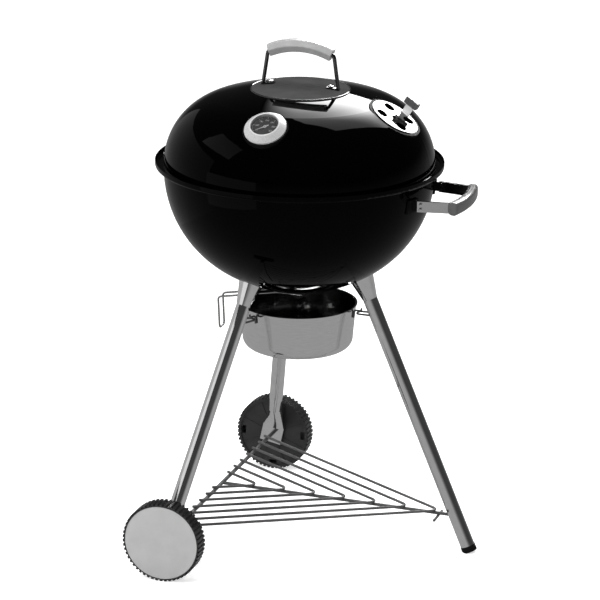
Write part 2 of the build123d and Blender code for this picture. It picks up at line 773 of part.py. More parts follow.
BLADE_Z = FLOOR_TOP_Z + REST_GAP
FLANGE_Z = BLADE_Z + BLADE_THICK
HUB_Z = FLOOR_Z - HUB_BLOCK_DROP
HUB_LOW_Z = HUB_Z - HUB_BLOCK_TALL / 2
NUT_LOW_Z = HUB_LOW_Z - SWEEPER_NUT_TALL


def sweeper_blade(index):
    """Flat blade that closes one slot of the bowl's floor when the lever is swung."""
    blade = sector(BLADE_IN_R, BLADE_OUT_R, BLADE_ANGLE, BLADE_Z, FLANGE_Z)
    return Rot(0, 0, SLOT_AZIMUTH + BLADE_TURN + 360 * index / BLADES) * blade


def sweeper_shaft():
    """Upright shaft through the bowl's floor, with a flange on the blades."""
    flange = disc(SHAFT_FLANGE_R, FLANGE_Z, FLANGE_Z + SHAFT_FLANGE_THICK)
    return flange + disc(SHAFT_R, NUT_LOW_Z - BOWL_WALL, FLANGE_Z)


def sweeper_hub():
    """Block on the shaft that the lever's two rods are welded to."""
    half_y = LEVER_HALF - LEVER_R - WELD_GAP
    half_x = HUB_BLOCK_LONG / 2
    body = block((-half_x, -half_y, HUB_LOW_Z), (half_x, half_y, HUB_LOW_Z + HUB_BLOCK_TALL))
    return body - disc(SHAFT_R + SLIP_CLEAR, HUB_LOW_Z - HUB_BLOCK_TALL, FLOOR_Z)


def sweeper_nut():
    hexagon = Pos(0, 0, NUT_LOW_Z) * extrude(RegularPolygon(SWEEPER_NUT_R, 6), SWEEPER_NUT_TALL)
    return hexagon - disc(SHAFT_R + SLIP_CLEAR, NUT_LOW_Z - SWEEPER_NUT_TALL, FLOOR_Z)


def sweeper_lever():
    """One wire: out on one side of the hub, down, across and back on the other side."""
    corner_z = FLOOR_Z - LEVER_CORNER_DROP
    side_points = [
        (HUB_BLOCK_LONG / 2, HUB_Z),
        (-LEVER_BEND_X, HUB_Z),
        (-LEVER_CORNER_X, corner_z),
        (LEVER_LEAN - LEVER_CORNER_X, corner_z - LEVER_HANG),
    ]
    out = [(x, -LEVER_HALF, z) for x, z in side_points]
    back = [(x, LEVER_HALF, z) for x, z in reversed(side_points)]
    return wire(out + back, LEVER_R, LEVER_BEND)


# Grates


def grate(ring_r, ring_wire, bar_wire, bar_step, z):
    """Round grate: a ring, parallel bars across it and two cross bars below."""
    bars = []
    half_count = int((ring_r - 2 * ring_wire) / bar_step)
    for index in range(-half_count, half_count + 1):
        y = index * bar_step
        half = sqrt(ring_r**2 - y**2)
        bars.append(rod((-half, y, z), (half, y, z), bar_wire))
    cross_z = z - 2 * bar_wire + CROSS_BAR_BITE
    cross_x = CROSS_BAR_AT * ring_r
    cross_y = sqrt(ring_r**2 - cross_x**2)
    for x in (-cross_x, cross_x):
        bars.append(rod((x, -cross_y, cross_z), (x, cross_y, cross_z), bar_wire))
    return Pos(0, 0, z) * Torus(ring_r, ring_wire) + bars


def rest_tabs(grate_z, ring_wire, count, azimuth):
    """Shelf tabs welded inside the bowl, just under a grate's ring."""
    top_z = grate_z - ring_wire - REST_GAP
    low = (bowl_radius(top_z, BOWL_WALL) - TAB_SHELF, -TAB_SHELF_WIDE / 2, top_z - TAB_SHELF_THICK)
    shelf = block(low, (RIM_R, TAB_SHELF_WIDE / 2, top_z)) & BOWL_HOLLOW
    return Compound(around(shelf, count, azimuth))


def cooking_grate():
    ring_r = bowl_radius(COOK_Z, BOWL_WALL) - COOK_ROOM - COOK_RING_R
    return grate(ring_r, COOK_RING_R, COOK_BAR_R, COOK_BAR_STEP, COOK_Z)


def charcoal_grate():
    ring_r = bowl_radius(COAL_Z, BOWL_WALL) - COAL_ROOM - COAL_RING_R
    return grate(ring_r, COAL_RING_R, COAL_BAR_R, COAL_BAR_STEP, COAL_Z)


# Lid

LID_CROWN = crown_radius(LID_R, LID_HEIGHT, LID_CORNER)
LID_CROWN_Z = LID_BASE_Z + LID_HEIGHT - LID_CROWN


def lid_body(swell):
    """Filled lid, swelled by a hair of room where it trims what sits on it."""
    radius = LID_R + swell
    height = LID_HEIGHT + swell
    pieces = dome_outline(radius, height, LID_CORNER + swell, LID_BASE_Z, 1)
    pieces.append(Polyline((radius, LID_BASE_Z), (0, LID_BASE_Z), (0, LID_BASE_Z + height)))
    return turned(pieces)


LID_FILLED = lid_body(0)
LID_TRIM = lid_body(WELD_GAP)


def lid_frame(radius, azimuth):
    """Frame on the lid's outside: x level, y uphill, z straight out."""
    turn = radians(azimuth)
    lean = asin((radius - LID_R + LID_CORNER) / LID_CORNER)
    height = LID_BASE_Z + LID_CORNER * cos(lean)
    out = (sin(lean) * cos(turn), sin(lean) * sin(turn), cos(lean))
    origin = (radius * cos(turn), radius * sin(turn), height)
    return Plane(origin=origin, x_dir=(-sin(turn), cos(turn), 0), z_dir=out)


def sag(radius):
    """How far the lid's inside falls away from a flat face of this radius."""
    inside = LID_CORNER - LID_WALL
    return inside - sqrt(inside**2 - radius**2)


GAUGE_FRAME = lid_frame(LID_R - GAUGE_FROM_EDGE, GAUGE_AZIMUTH)
VENT_FRAME = lid_frame(LID_R - VENT_FROM_EDGE, VENT_AZIMUTH)


def vent_holes():
    """Round air holes through the lid's seat, the fixed plate and the turning plate."""
    hole = Pos(VENT_HOLE_CIRCLE, 0, 0) * disc(VENT_HOLE_R, -VENT_BASE_R, VENT_BASE_R)
    return around(hole, VENT_HOLES, VENT_TURN)


def vent_pocket():
    """Space above the flat seat that is pressed into the lid under the vent."""
    return VENT_FRAME * disc(VENT_BASE_R + VENT_SEAT_ROOM, -VENT_SINK, VENT_BASE_R)


def vent_seat():
    """Floor and wall of the flat seat, up to the lid's outside."""
    wall = disc(VENT_BASE_R + VENT_SEAT_ROOM + LID_WALL, -VENT_SINK - LID_WALL, VENT_BASE_R)
    return (VENT_FRAME * wall - vent_pocket()) & LID_FILLED


def lid():
    """Dome with an out-turned foot, a flat seat for the vent and holes for what is fixed to it."""
    bend = (LID_R + LID_FOOT_BEND, LID_BASE_Z)
    foot_z = LID_BASE_Z - LID_FOOT_BEND
    pieces = dome_outline(LID_R, LID_HEIGHT, LID_CORNER, LID_BASE_Z, 1)
    pieces += dome_outline(LID_R - LID_WALL, LID_HEIGHT - LID_WALL, LID_CORNER - LID_WALL, LID_BASE_Z, 1)
    pieces += [
        arc(bend, LID_FOOT_BEND, 180, 270),
        Polyline((bend[0], foot_z), (LID_FOOT_R, foot_z), (LID_FOOT_R, SEAT_Z), (bend[0], SEAT_Z)),
        arc(bend, LID_FOOT_BEND + LID_WALL, 270, 180),
        Line((0, LID_BASE_Z + LID_HEIGHT), (0, LID_BASE_Z + LID_HEIGHT - LID_WALL)),
    ]
    shell = turned(pieces) - vent_pocket() + vent_seat()
    shell -= GAUGE_FRAME * disc(STEM_R + SLIP_CLEAR, -STEM_LENGTH, GAUGE_TALL)
    shell -= [VENT_FRAME * hole for hole in vent_holes()]
    shell -= VENT_FRAME * disc(VENT_RIVET_R + SLIP_CLEAR, -VENT_BASE_R, VENT_BASE_R)
    return shell - screw_holes()


# Crown plate and lid handle

PLATE_IN = LID_CROWN + WELD_GAP
PLATE_OUT = PLATE_IN + PLATE_THICK
SCREW_X = HANDLE_FOOT_X - HANDLE_PAD_SCREW


def plate_frame(side):
    """Frame on the crown plate at a handle screw: x outwards along the handle, z straight out."""
    lean = asin(SCREW_X / PLATE_OUT)
    height = LID_CROWN_Z + PLATE_OUT * cos(lean)
    out = (side * sin(lean), 0, cos(lean))
    return Plane(origin=(side * SCREW_X, 0, height), x_dir=(side * cos(lean), 0, -sin(lean)), z_dir=out)


def screw_holes():
    reach = LID_WALL + PLATE_THICK + HANDLE_PAD[2]
    hole = disc(SCREW_R + SLIP_CLEAR, -2 * reach, 2 * reach)
    return [plate_frame(side) * hole for side in (1, -1)]


def crown_plate():
    """Thin dished plate on the crown of the lid, under the handle."""
    return cap(PLATE_IN, PLATE_OUT, PLATE_R, LID_CROWN_Z) - screw_holes()


def handle_points():
    """Foot, shoulder and arch corner of the lid handle's middle line, in the XZ plane."""
    foot_z = LID_CROWN_Z + sqrt(PLATE_OUT**2 - HANDLE_FOOT_X**2) + HANDLE_PAD[2] / 2
    shoulder = (HANDLE_SHOULDER_X, 0, foot_z + HANDLE_SHOULDER_UP)
    arch = (0, 0, shoulder[2] + HANDLE_ARCH_UP)
    return (HANDLE_FOOT_X, 0, foot_z), shoulder, arch


def flipped(point):
    return (-point[0], point[1], point[2])


def handle_rod():
    """Round rod bent up from both feet and over the arch."""
    foot, shoulder, arch = handle_points()
    points = [foot, shoulder, arch, flipped(shoulder), flipped(foot)]
    bends = [HANDLE_CORNER_BEND, HANDLE_ARCH_BEND, HANDLE_CORNER_BEND]
    return wire(points, HANDLE_ROD / 2, bends)


def lid_handle():
    """Bent rod with two flattened feet."""
    handle = handle_rod()
    long, wide, thick = HANDLE_PAD
    outer = HANDLE_PAD_SCREW + HANDLE_ROD / 4
    pad = block((outer - long, -wide / 2, 0), (outer, wide / 2, thick))
    for side in (1, -1):
        handle += plate_frame(side) * pad
    return handle - screw_holes()


def lid_grip():
    """Bowed grip over the handle's arch, ridged along its middle."""
    _, shoulder, arch = handle_points()
    along = (Vector(*arch) - Vector(*shoulder)).normalized()
    end = tuple(Vector(*shoulder) + along * LID_GRIP_SHORT)
    path = FilletPolyline(end, arch, flipped(end), radius=HANDLE_ARCH_BEND)
    half_tall = LID_GRIP_TALL / 2
    half_wide = LID_GRIP_WIDE / 2
    half_top = LID_GRIP_TOP / 2
    corners = [(-half_top, half_tall), (half_top, half_tall), (half_wide, 0)]
    corners += [(-x, -y) for x, y in corners]
    section = make_face(Polyline(*corners, close=True).edges())
    section = fillet(section.vertices(), LID_GRIP_EDGE)
    grip = sweep(Plane(origin=path @ 0, x_dir=(0, 1, 0), z_dir=path % 0) * section, path=path)
    return grip - handle_rod()


def lid_screws():
    """Two screws down through the handle's feet, the crown plate and the lid."""
    thick = HANDLE_PAD[2]
    low = -PLATE_THICK - WELD_GAP - LID_WALL - NUT_TALL
    screw = disc(SCREW_R, low, thick) + disc(SCREW_HEAD_R, thick, thick + SCREW_HEAD_TALL)
    return Compound([plate_frame(side) * screw for side in (1, -1)])


def lid_nuts():
    """Nuts inside the lid on the handle's screws."""
    high = -PLATE_THICK - WELD_GAP - LID_WALL - sag(NUT_R)
    nut = ring(NUT_R, SCREW_R + SLIP_CLEAR, high - NUT_TALL, high)
    return Compound([plate_frame(side) * nut for side in (1, -1)])


# Thermometer

GAUGE_FLOOR = GAUGE_SEAT_UP + GAUGE_TALL - DIAL_DEPTH
DIAL_TOP = GAUGE_FLOOR + DIAL_THICK
POINTER_LOW = DIAL_TOP + REST_GAP
POINTER_HIGH = POINTER_LOW + POINTER_THICK


def gauge_seat():
    """Dark ring that follows the lid below and is flat under the thermometer."""
    depth = LID_CORNER - sqrt(LID_CORNER**2 - GAUGE_SEAT_R**2) + GAUGE_R
    seat = ring(GAUGE_SEAT_R, STEM_R + SLIP_CLEAR, -depth, GAUGE_SEAT_UP)
    return GAUGE_FRAME * seat - LID_TRIM


def gauge_case():
    """Chrome case with a sloped bezel round the dial's recess."""
    bore = STEM_R + SLIP_CLEAR
    top = GAUGE_SEAT_UP + GAUGE_TALL
    outline = Polyline(
        (bore, GAUGE_SEAT_UP),
        (GAUGE_R, GAUGE_SEAT_UP),
        (GAUGE_R, GAUGE_SEAT_UP + GAUGE_EDGE_TALL),
        (GAUGE_LIP_R, top),
        (DIAL_R, top),
        (DIAL_R, GAUGE_FLOOR),
        (bore, GAUGE_FLOOR),
        close=True,
    )
    return GAUGE_FRAME * turned([outline])


def gauge_dial():
    return GAUGE_FRAME * ring(DIAL_R - SLIP_CLEAR, PIVOT_R + SLIP_CLEAR, GAUGE_FLOOR, DIAL_TOP)


def gauge_pointer():
    """Pointer that turns on the pivot pin above the dial."""
    half = POINTER_WIDE / 2
    corners = [(-POINTER_TAIL, -half), (0, -half), (POINTER_LENGTH, 0), (0, half), (-POINTER_TAIL, half)]
    outline = Polyline(*corners, close=True)
    arm = extrude(make_face(outline.edges()), POINTER_THICK)
    pointer = Pos(0, 0, POINTER_LOW) * arm + disc(POINTER_HUB_R, POINTER_LOW, POINTER_HIGH)
    pointer -= disc(PIVOT_R + RUN_CLEAR, GAUGE_FLOOR, GAUGE_TALL)
    return GAUGE_FRAME * Rot(0, 0, POINTER_ANGLE) * pointer


def gauge_window():
    high = GAUGE_SEAT_UP + GAUGE_TALL - DIAL_THICK / 2
    return GAUGE_FRAME * disc(DIAL_R - SLIP_CLEAR, high - WINDOW_THICK, high)


def gauge_stem():
    """Probe through the lid, with the pointer's pivot pin on its top."""
    stem = disc(STEM_R, -STEM_LENGTH, GAUGE_FLOOR) + disc(PIVOT_R, GAUGE_FLOOR, POINTER_HIGH + REST_GAP)
    return GAUGE_FRAME * stem


def gauge_nut():
    high = -LID_WALL - WELD_GAP - sag(STEM_NUT_R)
    hexagon = Pos(0, 0, high - STEM_NUT_TALL) * extrude(RegularPolygon(STEM_NUT_R, 6), STEM_NUT_TALL)
    return GAUGE_FRAME * (hexagon - disc(STEM_R + SLIP_CLEAR, -STEM_LENGTH, 0))


# Lid vent

VENT_BASE_TOP = VENT_BASE_THICK - VENT_SINK
VENT_PLATE_LOW = VENT_BASE_TOP + REST_GAP
VENT_PLATE_TOP = VENT_PLATE_LOW + VENT_PLATE_THICK
VENT_HEAD_LOW = VENT_PLATE_TOP + REST_GAP


def vent_base():
    """Fixed plate in the lid's flat seat, with an edge that follows the lid where it falls away."""
    body = disc(VENT_BASE_R, -VENT_BASE_R, VENT_BASE_TOP) - vent_holes()
    body -= disc(VENT_RIVET_R + SLIP_CLEAR, -VENT_BASE_R, VENT_BASE_R)
    return VENT_FRAME * body - (LID_TRIM - vent_pocket())


def vent_plate():
    """Turning plate whose holes line up with the lid's when the vent is open."""
    plate = ring(VENT_PLATE_R, VENT_RIVET_R + RUN_CLEAR, VENT_PLATE_LOW, VENT_PLATE_TOP)
    return VENT_FRAME * (plate - vent_holes())


def vent_tab_shape():
    """Upright tab with a foot on the turning plate, drawn in the vent's frame."""
    half = TAB_WIDE / 2
    low = VENT_PLATE_TOP
    foot = block((TAB_AT - TAB_FOOT, -half, low), (TAB_AT, half, low + TAB_THICK))
    return foot + block((TAB_AT, -half, low), (TAB_AT + TAB_THICK, half, low + TAB_TALL))


def vent_tab():
    return VENT_FRAME * Rot(0, 0, TAB_ANGLE) * vent_tab_shape()


def vent_grip():
    """Ribbed grip pushed over the tab's upper end."""
    wide, deep, tall = TAB_GRIP
    top = VENT_PLATE_TOP + TAB_TALL + TAB_THICK
    middle = TAB_AT + TAB_THICK / 2
    grip = block((middle - deep / 2, -wide / 2, top - tall), (middle + deep / 2, wide / 2, top))
    grip = fillet(grip.edges().filter_by(Axis.X), TAB_GRIP_EDGE)
    step = wide / (TAB_GRIP_RIBS + 1)
    grooves = []
    for index in range(TAB_GRIP_RIBS):
        y = (index + 1) * step - wide / 2
        for x in (middle - deep / 2, middle + deep / 2):
            low = (x - TAB_GRIP_RIB, y - TAB_GRIP_RIB, top - tall + TAB_GRIP_EDGE)
            grooves.append(block(low, (x + TAB_GRIP_RIB, y + TAB_GRIP_RIB, top - TAB_GRIP_EDGE)))
    return VENT_FRAME * Rot(0, 0, TAB_ANGLE) * (grip - grooves - vent_tab_shape())


def vent_rivet():
    """Pivot rivet: head over the turning plate, tail under the lid's seat."""
    tail_high = -VENT_SINK - LID_WALL
    rivet = disc(VENT_RIVET_R, tail_high, VENT_HEAD_LOW)
    rivet += disc(VENT_RIVET_HEAD_R, VENT_HEAD_LOW, VENT_HEAD_LOW + VENT_RIVET_HEAD_TALL)
    rivet += disc(VENT_RIVET_HEAD_R, tail_high - VENT_RIVET_HEAD_TALL, tail_high)
    return VENT_FRAME * rivet


# All pieces

PARTS = {
    "bowl": bowl(),
    "handle_grip": handle_grip(),
    "handle_rivets": handle_rivets(),
    "leg_foot": foot_leg(),
    "foot_cap": foot_cap(),
    "axle": axle(),
    "rack_spine": rack_spine(),
    "rack_wires": rack_wires(),
    "rack_stub": rack_stub(),
    "pan_loops": pan_loops(),
    "cooking_rests": rest_tabs(COOK_Z, COOK_RING_R, COOK_TABS, COOK_TAB_AZIMUTH),
    "charcoal_rests": rest_tabs(COAL_Z, COAL_RING_R, COAL_TABS, COAL_TAB_AZIMUTH),
    "ash_pan": ash_pan(),
    "pan_lugs": pan_lugs(),
    "sweeper_shaft": sweeper_shaft(),
    "sweeper_hub": sweeper_hub(),
    "sweeper_nut": sweeper_nut(),
    "sweeper_lever": sweeper_lever(),
    "cooking_grate": cooking_grate(),
    "charcoal_grate": charcoal_grate(),
    "lid": lid(),
    "crown_plate": crown_plate(),
    "lid_handle": lid_handle(),
    "lid_grip": lid_grip(),
    "lid_screws": lid_screws(),
    "lid_nuts": lid_nuts(),
    "gauge_seat": gauge_seat(),
    "gauge_case": gauge_case(),
    "gauge_dial": gauge_dial(),
    "gauge_pointer": gauge_pointer(),
    "gauge_window": gauge_window(),
    "gauge_stem": gauge_stem(),
    "gauge_nut": gauge_nut(),
    "vent_base": vent_base(),
    "vent_plate": vent_plate(),
    "vent_tab": vent_tab(),
    "vent_grip": vent_grip(),
    "vent_rivet": vent_rivet(),
}
for leg in LEGS:
    PARTS[f"socket_{leg}"] = socket(leg)
for index in range(BLADES):
    PARTS[f"sweeper_blade_{index + 1}"] = sweeper_blade(index)
for name, side in SIDES.items():
    PARTS[f"leg_{name}"] = wheel_leg(name)
    PARTS[f"wheel_{name}"] = wheel(side)
    PARTS[f"wheel_disc_{name}"] = wheel_disc(side)
    PARTS[f"washer_{name}"] = washer(side)
    PARTS[f"push_nut_{name}"] = push_nut(side)
    PARTS[f"handle_strap_{name}"] = handle_strap(side)
    PARTS[f"handle_bracket_{name}"] = handle_bracket(side)

# The shared frame's origin lies on the floor under the middle of the whole outline.
FOOT_REACH = LEG_TOP_R - FOOT_CUT * sin(FOOT_LEAN) + FOOT_CAP_R * cos(FOOT_LEAN)
KETTLE_X = (RIM_R - FOOT_REACH) / 2

os.makedirs("parts", exist_ok=True)
for name, shape in PARTS.items():
    export_step(Pos(KETTLE_X, 0, 0) * shape, f"parts/{name}.step")
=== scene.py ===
import json
from math import cos, pi, radians, sin

import bpy
from mathutils import Matrix, Vector


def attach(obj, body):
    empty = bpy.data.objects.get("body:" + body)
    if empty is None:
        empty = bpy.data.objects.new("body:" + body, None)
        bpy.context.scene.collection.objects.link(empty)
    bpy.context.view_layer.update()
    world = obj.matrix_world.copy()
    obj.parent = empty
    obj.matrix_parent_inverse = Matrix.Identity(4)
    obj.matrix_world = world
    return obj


# Looks of the kettle grill: camera, studio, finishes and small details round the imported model, in metres.

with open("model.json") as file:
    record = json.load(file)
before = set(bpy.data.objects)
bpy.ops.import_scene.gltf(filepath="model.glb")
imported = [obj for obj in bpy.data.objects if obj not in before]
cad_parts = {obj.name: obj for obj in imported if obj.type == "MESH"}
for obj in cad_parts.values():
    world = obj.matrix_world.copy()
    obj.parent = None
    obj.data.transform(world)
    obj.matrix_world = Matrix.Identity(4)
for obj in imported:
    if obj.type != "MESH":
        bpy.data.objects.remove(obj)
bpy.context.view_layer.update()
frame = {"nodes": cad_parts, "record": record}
NODES = frame["nodes"]
JOINTS = {joint["name"]: joint for joint in frame["record"]["behaviour"]["joints"]}
KETTLE_X = JOINTS["sweeper_swing"]["pos_m"][0]
UP = Vector((0, 0, 1))

# Camera
CAMERA_AT = Vector((1.9431, -6.1038, 2.5022))
CAMERA_AZIMUTH = radians(18.087)
CAMERA_DOWN = radians(17.272)
CAMERA_ROLL = radians(0.664)
CAMERA_SENSOR_MM = 36.0
CAMERA_LENS_MM = 195.39
CAMERA_SHIFT = 0.00317

# Floor and world
FLOOR_HALF = 30.0
FLOOR_COLOUR = 0.82
FLOOR_COLOUR_SPAN = 0.01
FLOOR_NOISE = 3.0
FLOOR_ROUGH = 0.9
FLOOR_GLOW = 0.62
SKY_FILL = 0.5
SKY_SEEN = 1.0
STUDIO_LOW = 0.34
STUDIO_HIGH = 0.045
STUDIO_FADE = (-0.17, 0.14)

# Tall soft light behind: its outline in width and height, the plane that it leans in, its light and fades
BACK_OUTLINE = ((-0.95, 1.70), (1.10, 1.70), (1.05, 2.47), (0.72, 3.02), (0.57, 3.40),
                (0.10, 3.22), (-0.28, 3.08), (-0.60, 2.66), (-0.95, 2.44))
BACK_FOOT = 3.67
BACK_LEAN = 0.891
BACK_LIGHT = (25.0, 4.2)
BACK_FADE = (1.95, 2.75)
BACK_SIDE_FADE = (-0.95, -0.50)

# Other cards: their line on the floor and their heights, or their corners, and their light
LEFT_WALL_LINE = ((-1.45, -0.9), (-1.2, 1.1))
LEFT_WALL_HEIGHTS = (0.0, 1.4)
LEFT_WALL_LIGHT = (0.40, 0.42)
SIDE_CARD = ((-2.0, -1.75, 2.2), (-2.6, -0.05, 2.2), (-2.4, 0.0, 3.3), (-1.8, -1.7, 3.3))
SIDE_CARD_LIGHT = (1.2, 0.9)
FRONT_CARD_LINE = ((-0.85, -0.56), (-0.29, -1.01))
FRONT_CARD_HEIGHTS = (0.45, 0.9)
FRONT_CARD_LIGHT = (0.75, 0.75)

# Lamps
LAMP_TARGET = (0, 0, 0.6)
LAMP_SIZE = 2.4
KEY_AT = (-2.2, -3.4, 3.6)
KEY_WATTS = 150
TOP_AT = (0.4, 0.6, 4.0)
TOP_WATTS = 130

# Noise in the finishes: the part of it that is used, its detail, and how much wider clouds are than grain
NOISE_LOW = 0.3
NOISE_HIGH = 0.7
FINE_DETAIL = 4.0
GRAIN_DETAIL = 3.0
CLOUD_DETAIL = 2.0
CLOUD_WIDTH = 20

# Waves of a noise along x, y and z: alike, in level streaks, or in streaks along y
EVEN = (1, 1, 1)
STREAKS_LEVEL = (1, 1, 12)
STREAKS_ALONG_Y = (1, 0.03, 1)

# Painted shade on the pan's inner faces and on the faces between the handle's straps
PAN_PAINTED_SHADE = 0.40
STRAP_PAINTED_SHADE = 0.30

# Colour sockets of the mix node
MIX_FACTOR = 0
MIX_COLOUR_A = 6
MIX_COLOUR_B = 7
MIX_RESULT = 2

# Rings and fastener heads
RING_STEPS = 128
HEAD_STEPS = 14
HEAD_TURNS = 64
CROSS_HALF = 0.14
CROSS_REACH = 0.62
CROSS_DEEP = 0.0008

# Print on the thermometer's dial, with ticks as inner end, outer end and half width
DIAL_TOP = 0.0075
DIAL_START = radians(-145)
DIAL_SWEEP = radians(250)
DIAL_NUMBERS = (50, 100, 150, 200, 250, 300, 350)
DIAL_NUMBER_R = 0.0172
DIAL_NUMBER_TALL = 0.0050
DIAL_SMALL_TICKS = 5
DIAL_LONG_TICK = (0.0222, 0.0262, 0.0004)
DIAL_SHORT_TICK = (0.0242, 0.0262, 0.0002)
DIAL_PRINT = 0.00003

# Bead and screws of the crown plate
CROWN_CENTRE_Z = 0.3449
CROWN_BEAD_R = 0.1009
CROWN_BEAD_Z = 0.9541
CROWN_BEAD_TUBE = 0.0011
CROWN_BEAD_SIDES = 12
SCREW_ARM = 0.6237
SCREW_X = 0.0641
SCREW_R = 0.0048
SCREW_TALL = 0.0016

# Raised rim of the vent plate, as radius and height
VENT_TOP = -0.0039
VENT_BEAD = ((0.0456, -0.0001), (0.0462, 0.0004), (0.0470, 0.0007),
             (0.0504, 0.0007), (0.0513, 0.0004), (0.0518, -0.0001))

# Rivets of the bowl handle's straps
RIVET_OUT = (0.2818, 0.0845)
RIVET_TOE = radians(10)
RIVET_HEIGHTS = (0.7493, 0.7593)
RIVET_R = 0.0034
RIVET_TALL = 0.0011


def view_axes():
    """Right, up and forward directions of the camera."""
    level = Vector((cos(CAMERA_AZIMUTH), sin(CAMERA_AZIMUTH), 0))
    ahead = Vector((-sin(CAMERA_AZIMUTH), cos(CAMERA_AZIMUTH), 0))
    forward = ahead * cos(CAMERA_DOWN) - UP * sin(CAMERA_DOWN)
    steep = level.cross(forward)
    right = level * cos(CAMERA_ROLL) + steep * sin(CAMERA_ROLL)
    up = steep * cos(CAMERA_ROLL) - level * sin(CAMERA_ROLL)
    return right, up, forward


def add_camera():
    """Camera at the photograph's place, turn and focal length."""
    right, up, forward = view_axes()
    data = bpy.data.cameras.new("camera")
    data.sensor_width = CAMERA_SENSOR_MM
    data.lens = CAMERA_LENS_MM
    data.shift_x = CAMERA_SHIFT
    camera = bpy.data.objects.new("camera", data)
    bpy.context.scene.collection.objects.link(camera)
    turn = Matrix((right, up, -forward)).transposed().to_4x4()
    camera.matrix_world = Matrix.Translation(CAMERA_AT) @ turn
    bpy.context.scene.camera = camera


def set_range(node, start, end, low, high):
    """Make a map range node run from low to high between start and end."""
    for key, value in (("From Min", start), ("From Max", end), ("To Min", low), ("To Max", high)):
        node.inputs[key].default_value = value


class Shader:
    """Node tree of one material, built step by step."""

    def __init__(self, name):
        self.material = bpy.data.materials.new(name)
        self.material.use_nodes = True
        self.nodes = self.material.node_tree.nodes
        self.links = self.material.node_tree.links
        self.surface = self.nodes["Principled BSDF"]

    def node(self, kind, **values):
        """New node with its settings."""
        made = self.nodes.new(kind)
        for key, value in values.items():
            setattr(made, key, value)
        return made

    def set(self, **sockets):
        """Constant values of the surface's own sockets."""
        for key, value in sockets.items():
            self.surface.inputs[key.replace("_", " ")].default_value = value

    def noise(self, scale, detail=FINE_DETAIL, stretch=EVEN):
        """Noise in the piece's own space, in waves to the metre."""
        place = self.node("ShaderNodeTexCoord")
        mapping = self.node("ShaderNodeMapping")
        mapping.inputs["Scale"].default_value = stretch
        texture = self.node("ShaderNodeTexNoise")
        texture.inputs["Scale"].default_value = scale
        texture.inputs["Detail"].default_value = detail
        self.links.new(place.outputs["Object"], mapping.inputs["Vector"])
        self.links.new(mapping.outputs["Vector"], texture.inputs["Vector"])
        return texture.outputs["Fac"]

    def roughen(self, factor, low, high):
        """Roughness that runs from low to high with a noise."""
        spread = self.node("ShaderNodeMapRange")
        set_range(spread, NOISE_LOW, NOISE_HIGH, low, high)
        self.links.new(factor, spread.inputs["Value"])
        self.links.new(spread.outputs["Result"], self.surface.inputs["Roughness"])

    def tint(self, factor, dark, light):
        """Colour between two greys."""
        ramp = self.node("ShaderNodeValToRGB")
        for stop, position, grey in zip(ramp.color_ramp.elements, (NOISE_LOW, NOISE_HIGH), (dark, light)):
            stop.position = position
            stop.color = (grey, grey, grey, 1)
        self.links.new(factor, ramp.inputs["Fac"])
        self.links.new(ramp.outputs["Color"], self.surface.inputs["Base Color"])

    def darken_inside(self, centre, weights, shade):
        """Multiply the colour by a painted shade on faces that look towards a centre line."""
        place = self.node("ShaderNodeTexCoord")
        arm = self.node("ShaderNodeVectorMath", operation="SUBTRACT")
        arm.inputs[1].default_value = centre
        self.links.new(place.outputs["Object"], arm.inputs[0])
        flat = self.node("ShaderNodeVectorMath", operation="MULTIPLY")
        flat.inputs[1].default_value = weights
        self.links.new(arm.outputs["Vector"], flat.inputs[0])
        side = self.node("ShaderNodeVectorMath", operation="DOT_PRODUCT")
        self.links.new(flat.outputs["Vector"], side.inputs[0])
        self.links.new(place.outputs["Normal"], side.inputs[1])
        outside = self.node("ShaderNodeMath", operation="GREATER_THAN")
        outside.inputs[1].default_value = 0.0
        self.links.new(side.outputs["Value"], outside.inputs[0])
        lit = self.node("ShaderNodeMapRange")
        lit.inputs["To Min"].default_value = shade
        self.links.new(outside.outputs["Value"], lit.inputs["Value"])
        colour = self.surface.inputs["Base Color"]
        mixed = self.node("ShaderNodeMix", data_type="RGBA", blend_type="MULTIPLY")
        mixed.inputs[MIX_FACTOR].default_value = 1.0
        self.links.new(colour.links[0].from_socket, mixed.inputs[MIX_COLOUR_A])
        self.links.new(lit.outputs["Result"], mixed.inputs[MIX_COLOUR_B])
        self.links.new(mixed.outputs[MIX_RESULT], colour)

    def bump(self, factor, height):
        """Surface that rises and falls by a height with a noise."""
        bump = self.node("ShaderNodeBump")
        bump.inputs["Strength"].default_value = 1.0
        bump.inputs["Distance"].default_value = height
        self.links.new(factor, bump.inputs["Height"])
        self.links.new(bump.outputs["Normal"], self.surface.inputs["Normal"])


def metal(name, dark, light, rough, grain, height, stretch=EVEN):
    """Metal with a grain in its colour, gloss and surface."""
    shader = Shader(name)
    shader.set(Metallic=1.0)
    factor = shader.noise(grain, FINE_DETAIL, stretch)
    shader.tint(factor, dark, light)
    shader.roughen(factor, *rough)
    shader.bump(factor, height)
    return shader


def moulded(name, dark, light, rough, grain, height, gloss=0.5, stretch=EVEN):
    """Plastic, paint or rubber with a moulded grain."""
    shader = Shader(name)
    shader.set(Specular_IOR_Level=gloss)
    factor = shader.noise(grain, GRAIN_DETAIL, stretch)
    shader.tint(shader.noise(grain / CLOUD_WIDTH, CLOUD_DETAIL, stretch), dark, light)
    shader.roughen(factor, *rough)
    shader.bump(factor, height)
    return shader


def enamel():
    """Deep black glass enamel with a faint orange-peel surface."""
    shader = Shader("enamel")
    shader.set(Specular_IOR_Level=0.05)
    shader.tint(shader.noise(scale=6.0, detail=CLOUD_DETAIL), dark=0.0002, light=0.0004)
    shader.roughen(shader.noise(scale=40.0, detail=GRAIN_DETAIL), low=0.02, high=0.05)
    shader.bump(shader.noise(scale=160.0, detail=CLOUD_DETAIL), height=0.000006)
    return shader


